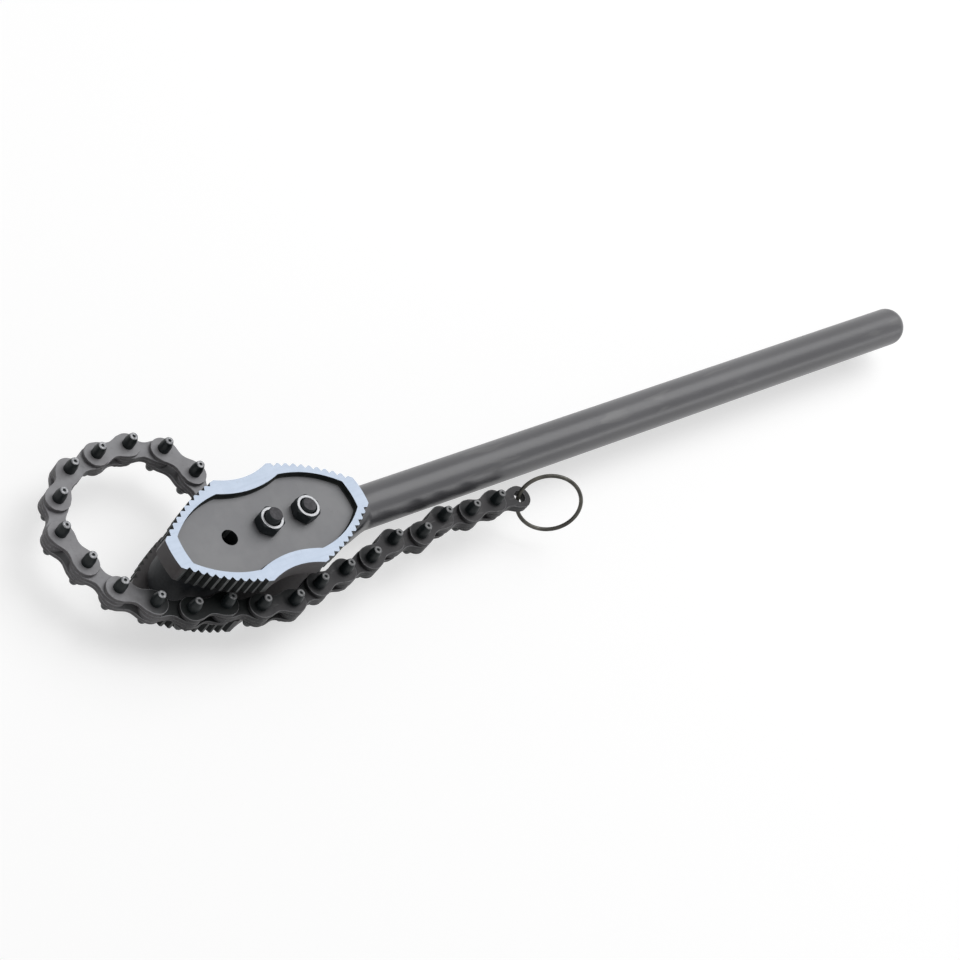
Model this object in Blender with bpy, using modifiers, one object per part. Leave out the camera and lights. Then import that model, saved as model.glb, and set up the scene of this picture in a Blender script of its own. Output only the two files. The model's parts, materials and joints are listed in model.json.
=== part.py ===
"""Chain pipe wrench: a forged handle between two toothed jaws, with a pin chain and its ring.

X runs along the handle, Z along the jaw bolts. The wrench lies on its two bolt heads,
and the origin is the middle of the centre bolt's head, where it meets the ground.
"""

import math

import bmesh
import bpy
from mathutils import Matrix, Vector

# Jaws
JAW_LENGTH = 0.180
JAW_HEIGHT = 0.088
JAW_THICKNESS = 0.0165
JAW_GAP = 0.043
NOSE_HEIGHT = 0.023
NOSE_SAGITTA = 0.0010
SHOULDER_SPAN = 0.050
THROAT_DEPTH = 0.0050
TOOTHED_EDGE_SAGITTA = 0.0045
TOOTH_DEPTH = 0.0026
TEETH_PER_EDGE = 11
RIM_WIDTH = 0.011
RECESS_DEPTH = 0.0055

# Bolts and nuts
BOLT_DIAMETER = 0.012
BOLT_SPACING = 0.035
BOLT_HOLE_DIAMETER = 0.013
HEX_ACROSS_FLATS = 0.019
BOLT_HEAD_HEIGHT = 0.0075
NUT_HEIGHT = 0.010
HEX_CHAMFER = 0.0012
CENTRE_BOLT_OVERHANG = 0.0060
OUTER_BOLT_OVERHANG = 0.0022
SPACER_DIAMETER = 0.020

# Handle
HANDLE_DIAMETER = 0.034
HANDLE_REACH = 0.793
TONGUE_WIDTH = 0.042
TONGUE_THICKNESS = 0.034
TONGUE_REACH = 0.083
FLARE_START = 0.085
FLARE_LENGTH = 0.025

# Chain
CHAIN_PITCH = 0.0285
PIN_DIAMETER = 0.0092
PIN_LENGTH = 0.0385
PIN_CHAMFER = 0.0010
LINK_PLATE_THICKNESS = 0.0035
LINK_END_RADIUS = 0.010
LINK_WAIST_WIDTH = 0.0130
LINK_STEP_DEG = 26.25
LINK_STEPS_EACH_WAY = 4
RUN_CLEARANCE = 0.0067

# Shackle that ties the chain to the centre bolt
SHACKLE_LENGTH = 0.040
SHACKLE_ANGLE_DEG = 107.5
SHACKLE_EYE_RADIUS = 0.0165
SHACKLE_TAIL_RADIUS = 0.0105
COLLAR_DIAMETER = 0.016

# Ring at the loose end of the chain
RING_DIAMETER = 0.055
RING_WIRE_DIAMETER = 0.0033
RING_TILT_DEG = 25.0
RING_SWING_DEG = -38.0

# Clearances
FIT_GAP = 0.0003
PIN_CLEARANCE = 0.0005
SHACKLE_CLEARANCE = 0.0004
CUT_OVERRUN = 0.0020
MERGE_DISTANCE = FIT_GAP / 100

# Direction of each link from its hinge, from the shackle to the ring, as photographed
LINK_HEADINGS_DEG = (
    90, 118, 156, 180, 191, 222, 243, 283, 296, 318, 331, 350,
    338, 350, 371, 367, 364, 375, 354, 374, 354, 362, 355,
)

# The lower run starts at this hinge, and these two links set its clearance to the tongue
RUN_START = 12
RUN_SETTERS = (9, 10)

# Shape shares
SHOULDER_INSET_SHARE = 0.4
TOOTH_TIP_SHARE = 0.24
CORNER_TURN_SHARE = 0.25
TONGUE_SQUARENESS = 7.0
ROUND_SQUARENESS = 2.0

# Facets
HOLE_SIDES = 16
PIN_SIDES = 12
SECTION_SIDES = 24

# Heights over the ground and along the bolts, all from the sizes above
PANEL_HEIGHT = JAW_GAP / 2 + JAW_THICKNESS - RECESS_DEPTH
MID_HEIGHT = PANEL_HEIGHT + FIT_GAP + BOLT_HEAD_HEIGHT
BOLT_PLACES = {"centre": 0.0, "outer": BOLT_SPACING}
HOLE_PLACES = (-BOLT_SPACING, 0.0, BOLT_SPACING)
INNER_STACK = FIT_GAP / 2 + LINK_PLATE_THICKNESS
OUTER_STACK = INNER_STACK + FIT_GAP + LINK_PLATE_THICKNESS
SHACKLE_PLATE_THICKNESS = (JAW_GAP - TONGUE_THICKNESS) / 2 - 2 * SHACKLE_CLEARANCE

FINISHES = {
    "painted_grey": ((0.19, 0.19, 0.20), 0.55, 0.2),
    "dark_steel": ((0.10, 0.11, 0.12), 0.45, 0.9),
    "chain_steel": ((0.24, 0.24, 0.25), 0.42, 0.9),
    "ring_wire": ((0.16, 0.16, 0.14), 0.35, 1.0),
}


def clear_scene():
    """Start from an empty scene."""
    for thing in list(bpy.data.objects):
        bpy.data.objects.remove(thing, do_unlink=True)


def new_collection(name):
    """A collection linked to the scene."""
    group = bpy.data.collections.new(name)
    bpy.context.scene.collection.children.link(group)
    return group


def finish(name):
    """The Principled material for one finish."""
    if name in bpy.data.materials:
        return bpy.data.materials[name]
    colour, roughness, metallic = FINISHES[name]
    material = bpy.data.materials.new(name)
    material.use_nodes = True
    shader = material.node_tree.nodes["Principled BSDF"]
    shader.inputs["Base Color"].default_value = (*colour, 1.0)
    shader.inputs["Roughness"].default_value = roughness
    shader.inputs["Metallic"].default_value = metallic
    material.diffuse_color = (*colour, 1.0)
    return material


def place(name, mesh, surface, group, parent=None, matrix=None):
    """Put a mesh in the scene as one named piece."""
    piece = bpy.data.objects.new(name, mesh)
    if not mesh.materials:
        mesh.materials.append(finish(surface))
    group.objects.link(piece)
    piece.parent = parent
    piece.matrix_local = matrix or Matrix()
    return piece


def soften(mesh, angle_deg=35.0):
    """Shade a mesh smooth, with its hard edges kept."""
    mesh.shade_smooth()
    mesh.set_sharp_from_angle(angle=math.radians(angle_deg))
    return mesh


def flat_mesh(name, outlines, thickness):
    """Solid plate from closed outlines, the first the edge and the rest its holes."""
    curve = bpy.data.curves.new(name, "CURVE")
    curve.dimensions = "2D"
    curve.fill_mode = "BOTH"
    curve.extrude = thickness / 2
    for outline in outlines:
        spline = curve.splines.new("POLY")
        spline.points.add(len(outline) - 1)
        for point, (x, y) in zip(spline.points, outline):
            point.co = (x, y, 0.0, 1.0)
        spline.use_cyclic_u = True
    drawn = bpy.data.objects.new(name, curve)
    bpy.context.scene.collection.objects.link(drawn)
    bpy.context.view_layer.update()
    evaluated = drawn.evaluated_get(bpy.context.evaluated_depsgraph_get())
    mesh = bpy.data.meshes.new_from_object(evaluated)
    bpy.data.objects.remove(drawn)
    bpy.data.curves.remove(curve)
    work = bmesh.new()
    work.from_mesh(mesh)
    bmesh.ops.remove_doubles(work, verts=work.verts, dist=MERGE_DISTANCE)
    bmesh.ops.recalc_face_normals(work, faces=work.faces)
    work.to_mesh(mesh)
    work.free()
    mesh.name = name
    return mesh


def circle(radius, sides, centre=(0.0, 0.0)):
    """Corners of a regular outline round a centre, turned so that no side lies along X or Y."""
    turns = [2 * math.pi * (i + CORNER_TURN_SHARE) / sides for i in range(sides)]
    return [(centre[0] + radius * math.cos(t), centre[1] + radius * math.sin(t)) for t in turns]


def bowed_line(start, end, sagitta, shares):
    """Points from start towards end on a shallow bow that swells to its left by the sagitta."""
    start, end = Vector(start), Vector(end)
    along = end - start
    left = Vector((-along.y, along.x)).normalized()
    return [start + along * s + left * (4 * sagitta * s * (1 - s)) for s in shares]


def cylinder(name, radius, bottom, top, sides, chamfer=0.0):
    """Round bar along Z, turned from a profile, with a chamfer at both ends."""
    profile = [(0.0, top), (radius - chamfer, top)]
    if chamfer:
        profile += [(radius, top - chamfer), (radius, bottom + chamfer)]
    profile += [(radius - chamfer, bottom), (0.0, bottom)]
    return turned(name, profile, sides)


def turned(name, profile, sides):
    """Mesh turned round Z from a profile at positive X that runs from top to bottom."""
    mesh = bpy.data.meshes.new(name)
    edges = [(i, i + 1) for i in range(len(profile) - 1)]
    mesh.from_pydata([(x, 0.0, z) for x, z in profile], edges, [])
    blank = bpy.data.objects.new(name, mesh)
    bpy.context.scene.collection.objects.link(blank)
    screw = blank.modifiers.new("turn", "SCREW")
    screw.steps = sides
    screw.render_steps = sides
    screw.use_merge_vertices = True
    screw.merge_threshold = MERGE_DISTANCE
    screw.use_smooth_shade = False
    return applied(blank)


def applied(blank):
    """The evaluated mesh of a working object, which is then removed."""
    bpy.context.view_layer.update()
    evaluated = blank.evaluated_get(bpy.context.evaluated_depsgraph_get())
    mesh = bpy.data.meshes.new_from_object(evaluated)
    mesh.name = blank.name
    bpy.data.objects.remove(blank)
    return mesh


def combined(name, base, others, operation):
    """A mesh after a Boolean with each of the other meshes in turn."""
    blank = bpy.data.objects.new(name, base)
    bpy.context.scene.collection.objects.link(blank)
    tools = []
    for number, other in enumerate(others):
        tool = bpy.data.objects.new(f"{name}_tool_{number}", other)
        cutters.objects.link(tool)
        tool.hide_render = True
        tool.display_type = "WIRE"
        tools.append(tool)
        step = blank.modifiers.new(tool.name, "BOOLEAN")
        step.operation = operation
        step.solver = "EXACT"
        step.object = tool
    mesh = applied(blank)
    for tool in tools:
        bpy.data.objects.remove(tool)
    return mesh


def jaw_outline(inset, toothed):
    """Outline of a jaw, drawn in from its edge by an inset, with or without its teeth."""
    nose = Vector((JAW_LENGTH / 2 - inset, NOSE_HEIGHT / 2))
    shoulder = Vector((
        SHOULDER_SPAN / 2 + inset * SHOULDER_INSET_SHARE,
        JAW_HEIGHT / 2 - inset,
    ))
    quarter = bowed_line((nose.x, 0.0), nose, 0.0, (0.0, 0.5))
    quarter += toothed_edge(nose, shoulder) if toothed else plain_edge(nose, shoulder)
    throat = bowed_line(shoulder, (-shoulder.x, shoulder.y), THROAT_DEPTH, (0, 1 / 8, 1 / 4, 3 / 8))
    quarter += throat
    quarter = [(nose_bow(x, y, inset), y) for x, y in quarter]
    middle = (0.0, shoulder.y - THROAT_DEPTH)
    top = quarter + [middle] + [(-x, y) for x, y in reversed(quarter)]
    return top + [(-x, -y) for x, y in top[1:-1]]


def nose_bow(x, y, inset):
    """Push the points of the nose out on a shallow bow."""
    if x < JAW_LENGTH / 2 - inset - FIT_GAP:
        return x
    return x + NOSE_SAGITTA * (1 - (2 * y / NOSE_HEIGHT) ** 2)


def plain_edge(nose, shoulder):
    """The smooth bowed edge from nose to shoulder."""
    return bowed_line(nose, shoulder, -TOOTHED_EDGE_SAGITTA, [i / 8 for i in range(8)])


def toothed_edge(nose, shoulder):
    """The bowed edge from nose to shoulder with its row of teeth."""
    tips = []
    for tooth in range(TEETH_PER_EDGE):
        flat = (tooth + (1 - TOOTH_TIP_SHARE) / 2, tooth + (1 + TOOTH_TIP_SHARE) / 2)
        tips += [(tooth, TOOTH_DEPTH), (flat[0], 0.0), (flat[1], 0.0)]
    tips[0] = (0, 0.0)
    shares = [place_on_edge / TEETH_PER_EDGE for place_on_edge, _ in tips]
    points = bowed_line(nose, shoulder, -TOOTHED_EDGE_SAGITTA, shares)
    along = (shoulder - nose).normalized()
    inward = Vector((-along.y, along.x))
    return [point + inward * depth for point, (_, depth) in zip(points, tips)]


def make_jaws(group):
    """Two alike toothed jaws, each with a recessed panel on its outer face and three bolt holes."""
    holes = [circle(BOLT_HOLE_DIAMETER / 2, HOLE_SIDES, (x, 0.0)) for x in HOLE_PLACES]
    plate = flat_mesh("jaw", [jaw_outline(0.0, True)] + holes, JAW_THICKNESS)
    pocket = flat_mesh("jaw_pocket", [jaw_outline(RIM_WIDTH, False)], RECESS_DEPTH + CUT_OVERRUN)
    rise = JAW_THICKNESS / 2 - RECESS_DEPTH / 2 + CUT_OVERRUN / 2
    pocket.transform(Matrix.Translation((0.0, 0.0, rise)))
    jaw = soften(combined("jaw", plate, [pocket], "DIFFERENCE"))
    middle = (JAW_GAP + JAW_THICKNESS) / 2
    over = Matrix.Rotation(math.pi, 4, "X")
    up = Matrix.Translation((0.0, 0.0, MID_HEIGHT + middle))
    down = Matrix.Translation((0.0, 0.0, MID_HEIGHT - middle))
    place("front_jaw", jaw, "painted_grey", group, matrix=up)
    place("rear_jaw", jaw, "painted_grey", group, matrix=down @ over)


def section(half_width, half_height, squareness):
    """Corners of one handle section, from round to nearly square."""
    power = 2.0 / squareness
    corners = []
    for i in range(SECTION_SIDES):
        turn = 2 * math.pi * (i + 0.5) / SECTION_SIDES
        c, s = math.cos(turn), math.sin(turn)
        y = half_width * math.copysign(abs(c) ** power, c)
        z = half_height * math.copysign(abs(s) ** power, s)
        corners.append((y, z))
    return corners


def handle_stations():
    """Place, half width, half height and squareness of each section along the handle."""
    wide, tall, bar = TONGUE_WIDTH / 2, TONGUE_THICKNESS / 2, HANDLE_DIAMETER / 2
    end_centre = wide - TONGUE_REACH
    stations = []
    for turn_deg in (74, 58, 40, 20, 0):
        turn = math.radians(turn_deg)
        x = end_centre - wide * math.sin(turn)
        stations.append((x, wide * math.cos(turn), tall, TONGUE_SQUARENESS))
    for share in (0.0, 0.2, 0.4, 0.6, 0.8, 1.0):
        ease = share * share * (3 - 2 * share)
        x = FLARE_START + FLARE_LENGTH * share
        half_width = wide + (bar - wide) * ease
        half_height = tall + (bar - tall) * ease
        squareness = TONGUE_SQUARENESS + (ROUND_SQUARENESS - TONGUE_SQUARENESS) * ease
        stations.append((x, half_width, half_height, squareness))
    for turn_deg in (0, 22, 45, 66):
        turn = math.radians(turn_deg)
        radius = bar * math.cos(turn)
        x = HANDLE_REACH - bar + bar * math.sin(turn)
        stations.append((x, radius, radius, ROUND_SQUARENESS))
    return stations


def make_handle(group):
    """Forged handle: a flat tongue with a round end, a flare, and a round bar with a domed end."""
    work = bmesh.new()
    rings = []
    for x, half_width, half_height, squareness in handle_stations():
        corners = section(half_width, half_height, squareness)
        rings.append([work.verts.new((x, y, z)) for y, z in corners])
    for here, there in zip(rings, rings[1:]):
        for i in range(SECTION_SIDES):
            j = (i + 1) % SECTION_SIDES
            work.faces.new((here[i], here[j], there[j], there[i]))
    work.faces.new(list(reversed(rings[0])))
    work.faces.new(rings[-1])
    bmesh.ops.recalc_face_normals(work, faces=work.faces)
    mesh = bpy.data.meshes.new("handle")
    work.to_mesh(mesh)
    work.free()
    reach = TONGUE_THICKNESS / 2 + CUT_OVERRUN
    holes = []
    for x in HOLE_PLACES:
        hole = cylinder("handle_hole", BOLT_HOLE_DIAMETER / 2, -reach, reach, HOLE_SIDES)
        hole.transform(Matrix.Translation((x, 0.0, 0.0)))
        holes.append(hole)
    mesh = soften(combined("handle", mesh, holes, "DIFFERENCE"))
    place("forged_handle", mesh, "painted_grey", group, matrix=Matrix.Translation((0.0, 0.0, MID_HEIGHT)))


def hexagon(name, bottom, top):
    """Six sided head or nut blank, chamfered on its outer face."""
    corner = HEX_ACROSS_FLATS / 2 / math.cos(math.pi / 6)
    blank = flat_mesh(name, [circle(corner, 6)], top - bottom)
    blank.transform(Matrix.Translation((0.0, 0.0, (top + bottom) / 2)))
    flat = HEX_ACROSS_FLATS / 2
    profile = [
        (0.0, top),
        (flat, top),
        (corner + CUT_OVERRUN, top - HEX_CHAMFER - CUT_OVERRUN / 2),
        (corner + CUT_OVERRUN, bottom - CUT_OVERRUN),
        (0.0, bottom - CUT_OVERRUN),
    ]
    return combined(name, blank, [turned(name, profile, 2 * PIN_SIDES)], "INTERSECT")


def make_fasteners(group):
    """Two hex bolts up through the rear jaw, their nuts on the front panel, and four spacers."""
    overhangs = {"centre": CENTRE_BOLT_OVERHANG, "outer": OUTER_BOLT_OVERHANG}
    seat = PANEL_HEIGHT + FIT_GAP
    bore = BOLT_DIAMETER / 2 + PIN_CLEARANCE
    nut = hexagon("nut", seat, seat + NUT_HEIGHT)
    hole = cylinder("nut_bore", bore, seat - CUT_OVERRUN, seat + NUT_HEIGHT + CUT_OVERRUN, HOLE_SIDES)
    nut = soften(combined("nut", nut, [hole], "DIFFERENCE"))
    rim, tongue = JAW_GAP / 2 - FIT_GAP, TONGUE_THICKNESS / 2 + FIT_GAP
    outlines = [circle(SPACER_DIAMETER / 2, 2 * PIN_SIDES), circle(bore, HOLE_SIDES)]
    spacer = soften(flat_mesh("spacer", outlines, rim - tongue))
    for where, x in BOLT_PLACES.items():
        frame = Matrix.Translation((x, 0.0, MID_HEIGHT))
        tip = seat + NUT_HEIGHT + overhangs[where]
        shank = cylinder("shank", BOLT_DIAMETER / 2, -seat - FIT_GAP, tip, HOLE_SIDES)
        head = hexagon("bolt", seat, seat + BOLT_HEAD_HEIGHT)
        head.transform(Matrix.Rotation(math.pi, 4, "X"))
        bolt = soften(combined(f"{where}_bolt", head, [shank], "UNION"))
        place(f"{where}_bolt", bolt, "dark_steel", group, matrix=frame)
        place(f"{where}_nut", nut, "dark_steel", group, matrix=frame)
        for side, way in (("front", 1), ("rear", -1)):
            lift = Matrix.Translation((0.0, 0.0, way * (rim + tongue) / 2))
            place(f"{where}_spacer_{side}", spacer, "dark_steel", group, matrix=frame @ lift)


def link_outline():
    """Waisted outline of a chain plate, from its hinge at the origin to one pitch along X."""
    steps = range(-LINK_STEPS_EACH_WAY, LINK_STEPS_EACH_WAY + 1)
    turns = [math.radians(LINK_STEP_DEG * i) for i in steps]
    far = [(CHAIN_PITCH + LINK_END_RADIUS * math.cos(t), LINK_END_RADIUS * math.sin(t)) for t in turns]
    near = [(CHAIN_PITCH - x, -y) for x, y in far]
    middle = CHAIN_PITCH / 2
    return far + [(middle, LINK_WAIST_WIDTH / 2)] + near + [(middle, -LINK_WAIST_WIDTH / 2)]


def strap_outline():
    """Outline of a shackle plate, a large eye at the origin and a small one along X."""
    lean = math.acos((SHACKLE_EYE_RADIUS - SHACKLE_TAIL_RADIUS) / SHACKLE_LENGTH)
    tail_turns = [lean * i / 5 for i in range(-5, 6)]
    eye_turns = [lean + (2 * math.pi - 2 * lean) * i / 8 for i in range(9)]
    tail = [(SHACKLE_LENGTH + SHACKLE_TAIL_RADIUS * math.cos(t), SHACKLE_TAIL_RADIUS * math.sin(t))
            for t in tail_turns]
    eye = [(SHACKLE_EYE_RADIUS * math.cos(t), SHACKLE_EYE_RADIUS * math.sin(t)) for t in eye_turns]
    return tail + eye


def make_empty(name, group, parent, matrix):
    """A hinge frame, which carries the pieces that turn on it."""
    hinge = bpy.data.objects.new(name, None)
    hinge.empty_display_size = PIN_DIAMETER
    group.objects.link(hinge)
    hinge.parent = parent
    hinge.matrix_local = matrix
    return hinge


def lifted(height, along=0.0):
    """A frame raised along the bolts."""
    return Matrix.Translation((along, 0.0, height))


def make_shackle(group):
    """Clevis on the centre bolt: two plates, the anchor pin and two collars that centre the chain."""
    turn = Matrix.Rotation(math.radians(SHACKLE_ANGLE_DEG), 4, "Z")
    hinge = make_empty("shackle_hinge", group, None, lifted(MID_HEIGHT) @ turn)
    pin_radius = PIN_DIAMETER / 2
    pin_hole = pin_radius + PIN_CLEARANCE
    eye = circle(SPACER_DIAMETER / 2 + PIN_CLEARANCE, 2 * PIN_SIDES)
    tail = circle(pin_hole, PIN_SIDES, (SHACKLE_LENGTH, 0.0))
    plate = soften(flat_mesh("shackle_plate", [strap_outline(), eye, tail], SHACKLE_PLATE_THICKNESS))
    outer = JAW_GAP / 2 - SHACKLE_CLEARANCE
    inner = outer - SHACKLE_PLATE_THICKNESS
    collar_foot, collar_top = INNER_STACK + FIT_GAP, inner - FIT_GAP
    rings = [circle(COLLAR_DIAMETER / 2, PIN_SIDES), circle(pin_hole, PIN_SIDES)]
    collar = soften(flat_mesh("collar", rings, collar_top - collar_foot))
    for side, way in (("front", 1), ("rear", -1)):
        place(f"shackle_plate_{side}", plate, "dark_steel", group, hinge, lifted(way * (inner + outer) / 2))
        middle = way * (collar_foot + collar_top) / 2
        place(f"anchor_collar_{side}", collar, "dark_steel", group, hinge, lifted(middle, SHACKLE_LENGTH))
    pin = soften(cylinder("anchor_pin", pin_radius, -outer, outer, PIN_SIDES))
    place("anchor_pin", pin, "chain_steel", group, hinge, lifted(0.0, SHACKLE_LENGTH))
    return hinge


def link_headings():
    """Direction of each link, with the two that lead to the lower run turned alike to set it."""
    headings = [math.radians(heading) for heading in LINK_HEADINGS_DEG]
    start = SHACKLE_LENGTH * math.sin(math.radians(SHACKLE_ANGLE_DEG))
    run = -(TONGUE_WIDTH / 2 + LINK_END_RADIUS + RUN_CLEARANCE)
    first, second = (headings[number] for number in RUN_SETTERS)
    fixed = sum(math.sin(heading) for heading in headings[:RUN_START])
    fixed -= math.sin(first) + math.sin(second)
    drop = (run - start) / CHAIN_PITCH - fixed
    middle = math.asin(drop / 2 / math.cos((second - first) / 2)) + 2 * math.pi
    for number in RUN_SETTERS:
        headings[number] += middle - (first + second) / 2
    return [math.degrees(heading) for heading in headings]


def make_outer_link():
    """Riveted outer link: two plates and the two long pins that project from both sides."""
    plates = []
    for way in (1, -1):
        plate = flat_mesh("outer_plate", [link_outline()], LINK_PLATE_THICKNESS)
        plate.transform(lifted(way * (INNER_STACK + OUTER_STACK + FIT_GAP) / 2))
        plates.append(plate)
    pins = []
    for along in (0.0, CHAIN_PITCH):
        half = PIN_LENGTH / 2
        pin = cylinder("pin", PIN_DIAMETER / 2, -half, half, PIN_SIDES, PIN_CHAMFER)
        pin.transform(lifted(0.0, along))
        pins.append(pin)
    return soften(combined("outer_link", plates[0], [pins[0], plates[1], pins[1]], "UNION"))


def make_chain(group, shackle):
    """The chain, link by link, each on the hinge at the end of the one before."""
    bores = [circle(PIN_DIAMETER / 2 + PIN_CLEARANCE, PIN_SIDES, (x, 0.0)) for x in (0.0, CHAIN_PITCH)]
    inner = soften(flat_mesh("inner_plate", [link_outline()] + bores, LINK_PLATE_THICKNESS))
    outer = make_outer_link()
    hinge = shackle
    reach, before = SHACKLE_LENGTH, SHACKLE_ANGLE_DEG
    rise = (FIT_GAP + LINK_PLATE_THICKNESS) / 2
    for number, heading in enumerate(link_headings()):
        turn = Matrix.Rotation(math.radians(heading - before), 4, "Z")
        hinge = make_empty(f"link_hinge_{number:02d}", group, hinge, lifted(0.0, reach) @ turn)
        reach, before = CHAIN_PITCH, heading
        if number % 2:
            place(f"outer_link_{number:02d}", outer, "chain_steel", group, hinge)
            continue
        for side, way in (("front", 1), ("rear", -1)):
            place(f"inner_plate_{number:02d}_{side}", inner, "chain_steel", group, hinge, lifted(way * rise))
    return hinge


def make_ring(group, last_link):
    """Wire ring through the end hole of the last link."""
    radius = (RING_DIAMETER - RING_WIRE_DIAMETER) / 2
    bpy.ops.mesh.primitive_torus_add(
        major_radius=radius,
        minor_radius=RING_WIRE_DIAMETER / 2,
        major_segments=40,
        minor_segments=8,
    )
    blank = bpy.context.active_object
    mesh = blank.data
    bpy.data.objects.remove(blank)
    mesh.transform(Matrix.Translation((radius, 0.0, 0.0)) @ Matrix.Rotation(math.pi / 2, 4, "X"))
    level = Matrix.Rotation(math.radians(-LINK_HEADINGS_DEG[-1]), 4, "Z")
    tilt = Matrix.Rotation(math.radians(-RING_TILT_DEG), 4, "X")
    swing = Matrix.Rotation(math.radians(RING_SWING_DEG), 4, "Z")
    hinge = make_empty("ring_hinge", group, last_link, lifted(0.0, CHAIN_PITCH) @ level @ tilt)
    place("end_ring", soften(mesh, 60.0), "ring_wire", group, hinge, swing)


clear_scene()
parts = new_collection("chain_pipe_wrench")
cutters = new_collection("cutters")
make_handle(parts)
make_jaws(parts)
make_fasteners(parts)
make_ring(parts, make_chain(parts, make_shackle(parts)))
bpy.context.view_layer.update()
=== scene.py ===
"""Looks of the chain pipe wrench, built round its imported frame.

X runs along the handle and Z along the jaw bolts, as in the frame. Every shape here stands
on the frame's own sizes, and only rounds edges, cuts threads and finishes surfaces.
"""

import json
import math

import bmesh
import bpy
from mathutils import Matrix, Vector


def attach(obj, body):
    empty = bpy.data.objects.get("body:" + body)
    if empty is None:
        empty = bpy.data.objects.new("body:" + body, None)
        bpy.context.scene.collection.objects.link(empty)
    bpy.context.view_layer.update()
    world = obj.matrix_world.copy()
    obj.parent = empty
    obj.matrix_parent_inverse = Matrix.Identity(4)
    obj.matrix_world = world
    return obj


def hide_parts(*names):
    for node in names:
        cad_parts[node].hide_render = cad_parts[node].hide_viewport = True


# Jaws
JAW_LENGTH = 0.180
JAW_HEIGHT = 0.088
JAW_THICKNESS = 0.0165
JAW_GAP = 0.043
NOSE_HEIGHT = 0.023
NOSE_SAGITTA = 0.0010
SHOULDER_SPAN = 0.050
THROAT_DEPTH = 0.0050
TOOTHED_EDGE_SAGITTA = 0.0045
TOOTH_DEPTH = 0.0026
TEETH_PER_EDGE = 11
TOOTH_TIP_SHARE = 0.24
RIM_WIDTH = 0.011
RECESS_DEPTH = 0.0055
SHOULDER_INSET_SHARE = 0.4
FILLET_RADIUS = 0.0011
FILLET_BURIED_SHARE = 0.2

# Bolts and nuts
BOLT_DIAMETER = 0.012
BOLT_SPACING = 0.035
BOLT_HOLE_DIAMETER = 0.013
THREAD_PITCH = 0.00175
THREAD_DEPTH = 0.0008
HEX_ACROSS_FLATS = 0.019
BOLT_HEAD_HEIGHT = 0.0075
NUT_HEIGHT = 0.010
HEX_CHAMFER = 0.0012
HEX_CORNER_RADIUS = 0.0016
HEX_TURN_DEG = 15
NUT_COUNTERSINK = 0.0006
BOLT_OVERHANGS = {"centre": 0.0060, "outer": 0.0022}
NUT_TURNS_DEG = {"centre": 8.0, "outer": -6.0}
SPACER_DIAMETER = 0.020

# Handle
HANDLE_DIAMETER = 0.034
HANDLE_REACH = 0.793
DOME_DEPTH = 0.0155
TONGUE_WIDTH = 0.042
TONGUE_THICKNESS = 0.034
TONGUE_REACH = 0.083
FLARE_START = 0.085
FLARE_LENGTH = 0.025
# Where the painted shade of the tongue between the jaws has faded into the bar's paint
TONGUE_SHADE_END = 0.108
TONGUE_SQUARENESS = 7.0
ROUND_SQUARENESS = 2.0

# Chain
CHAIN_PITCH = 0.0285
PIN_DIAMETER = 0.0092
PIN_LENGTH = 0.0385
PIN_TIP_DIAMETER = 0.0064
PIN_TIP_EDGE = 0.0006
PIN_TAPER = 0.0060
PIN_DIMPLE_DIAMETER = 0.0023
PIN_DIMPLE_DEPTH = 0.0011
PIN_DIMPLE_FLOOR_SHARE = 0.6
PIN_DIMPLE_LIP_SHARE = 1.25
PIN_ROLLED_EDGE_SHARE = 0.3
PIN_TAPER_KNEE_SHARE = 0.45
PIN_CAP_SHARE = 0.9
LINK_PLATE_THICKNESS = 0.0035
LINK_END_RADIUS = 0.010
LINK_WAIST_WIDTH = 0.0130
LINK_END_TURN_DEG = 105.0
LINK_COUNT = 23
# Painted shadow round the pins of the run and the tail: first link, reach, share of the reach that
# is fully dark, and offset towards the handle
FIRST_PIN_SHADOW_LINK = 11
PIN_SHADOW_REACH = 0.0095
PIN_SHADOW_FULL_SHARE = 0.6
PIN_SHADOW_OFFSET = 0.0020

# Where the painted shade on the chain's run and tail, and the painted shade under the jaws, begin
# and are full, or begin to end and are gone
CHAIN_SHADE_FROM_X = (-0.112, -0.080)
CHAIN_SHADE_UP_TO_Y = (-0.012, 0.006)
JAW_SHADE_FROM_X = (-0.126, -0.096)
JAW_SHADE_UP_TO_X = (0.01, 0.05)
JAW_SHADE_FROM_Y = (-0.056, -0.044)
JAW_SHADE_UP_TO_Y = (0.0, 0.02)

# Shackle
SHACKLE_LENGTH = 0.040
SHACKLE_EYE_RADIUS = 0.0165
SHACKLE_TAIL_RADIUS = 0.0105
COLLAR_DIAMETER = 0.016

# Ring
RING_DIAMETER = 0.055
RING_WIRE_DIAMETER = 0.0033
RING_SWING_DEG = -38.0

# Clearances and overruns
FIT_GAP = 0.0003
PIN_CLEARANCE = 0.0005
SHACKLE_CLEARANCE = 0.0004
CUT_OVERRUN = 0.0020
MERGE_DISTANCE = 0.000003

# Eased edges, and the least turn at which each piece's edges count as hard
PLATE_EDGE = 0.00045
HEX_EDGE = 0.00025
EDGE_SEGMENTS = 2
SAME_FACE_DEG = 0.5
HEX_HARD_DEG = 25.0
JAW_HARD_DEG = 30.0
PLATE_HARD_DEG = 35.0
FORGED_HARD_DEG = 40.0
PIN_HARD_DEG = 50.0
RING_HARD_DEG = 60.0

# How squarely a face looks along a direction, as a cosine, to count as facing it
FACING_SHARE = 0.9
SQUARE_SHARE = 0.97
LEANING_SHARES = {"jaw": 0.3, "nut": 0.85, "bolt": 0.8, "plate": 0.2}

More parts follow.
